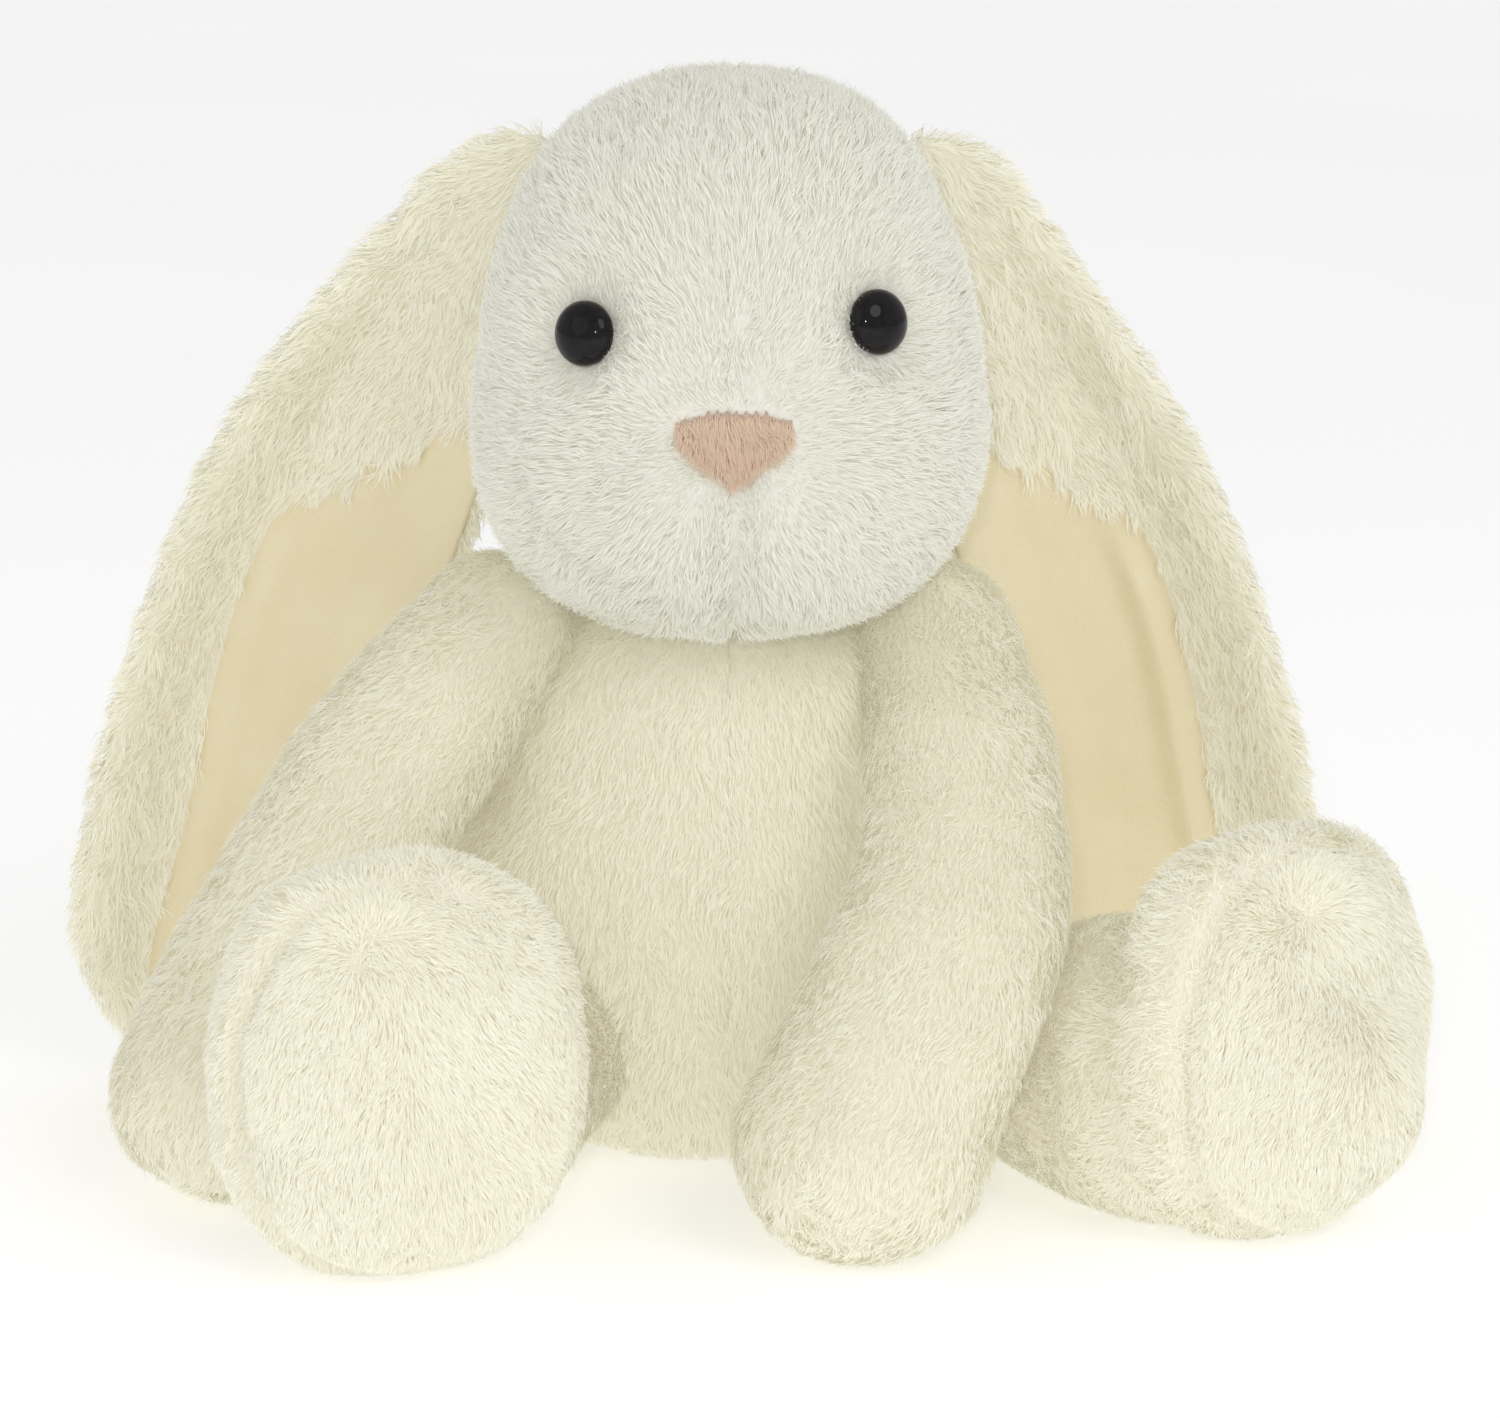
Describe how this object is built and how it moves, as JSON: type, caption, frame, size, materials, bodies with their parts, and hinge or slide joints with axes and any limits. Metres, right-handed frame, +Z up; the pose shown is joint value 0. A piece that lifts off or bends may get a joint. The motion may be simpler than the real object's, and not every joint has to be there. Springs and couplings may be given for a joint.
{
  "type": "plush rabbit",
  "caption": "Seated plush rabbit with long lop ears, a jointed head, soft arms and big oval feet, resting on a flat seat.",
  "frame": {"origin": "middle of the floor under the whole seated toy", "axes": "+Z up, the face looks along -Y, the toy's own left side is +X"},
  "size_m": [0.3248, 0.212, 0.262],
  "materials": {
    "face_fur": "white combed long-pile plush",
    "body_fur": "cream long-pile plush",
    "nose_cloth": "pinkish tan short-pile plush",
    "ear_lining": "pale yellow smooth short-pile cloth",
    "eye_gloss": "polished black",
    "washer": "plain moulded white",
    "fill": "white polyester fibre fill",
    "pellet_bag": "plain woven bag of plastic pellets",
    "thread": "twisted cream thread"
  },
  "bodies": {
    "torso": {"torso_panel_left": "body_fur", "torso_panel_right": "body_fur", "torso_stuffing": "fill", "seat_panel": "body_fur", "seat_pellet_bag": "pellet_bag", "tail_cover": "body_fur", "tail_stuffing": "fill"},
    "neck": {"neck_stuffing": "fill", "neck_seam_thread": "thread"},
    "head": {"head_panel_left": "face_fur", "head_panel_right": "face_fur", "head_stuffing": "fill", "nose_patch": "nose_cloth", "eye_left": "eye_gloss", "eye_right": "eye_gloss", "eye_washer_left": "washer", "eye_washer_right": "washer"},
    "ear_left": {"ear_outer_left": "body_fur", "ear_lining_left": "ear_lining"},
    "ear_right": {"ear_outer_right": "body_fur", "ear_lining_right": "ear_lining"},
    "arm_left": {"arm_cover_left": "body_fur", "arm_stuffing_left": "fill", "paw_pellet_bag_left": "pellet_bag"},
    "arm_right": {"arm_cover_right": "body_fur", "arm_stuffing_right": "fill", "paw_pellet_bag_right": "pellet_bag"},
    "leg_left": {"leg_cover_left": "body_fur", "sole_panel_left": "body_fur", "leg_stuffing_left": "fill", "foot_pellet_bag_left": "pellet_bag"},
    "leg_right": {"leg_cover_right": "body_fur", "sole_panel_right": "body_fur", "leg_stuffing_right": "fill", "foot_pellet_bag_right": "pellet_bag"}
  },
  "joints": [
    {"name": "neck_turn", "type": "hinge", "parent": "torso", "child": "neck", "pos_m": [-0.0022, 0.0226, 0.133], "axis": [0, 0, 1], "range_deg": [-15, 15]},
    {"name": "neck_nod", "type": "hinge", "parent": "neck", "child": "head", "pos_m": [-0.0022, 0.0226, 0.133], "axis": [1, 0, 0], "range_deg": [-8, 12]},
    {"name": "ear_left_lift", "type": "hinge", "parent": "head", "child": "ear_left", "pos_m": [0.0511, 0.0326, 0.24], "axis": [0, -1, 0], "range_deg": [0, 100]},
    {"name": "ear_right_lift", "type": "hinge", "parent": "head", "child": "ear_right", "pos_m": [-0.0554, 0.0326, 0.24], "axis": [0, 1, 0], "range_deg": [0, 100]},
    {"name": "arm_left_raise", "type": "hinge", "parent": "torso", "child": "arm_left", "pos_m": [0.0538, 0.0246, 0.119], "axis": [-0.9375, -0.1101, 0.3302], "range_deg": [0, 45]},
    {"name": "arm_right_raise", "type": "hinge", "parent": "torso", "child": "arm_right", "pos_m": [-0.0582, 0.0256, 0.119], "axis": [-0.441, 0.8811, -0.171], "range_deg": [0, 80]},
    {"name": "leg_left_lift", "type": "hinge", "parent": "torso", "child": "leg_left", "pos_m": [0.0584, 0.0016, 0.028], "axis": [-0.3633, -0.5024, 0.7846], "range_deg": [0, 25]},
    {"name": "leg_right_lift", "type": "hinge", "parent": "torso", "child": "leg_right", "pos_m": [-0.0457, -0.0111, 0.028], "axis": [-0.8387, 0.5446, 0], "range_deg": [0, 20]}
  ]
}
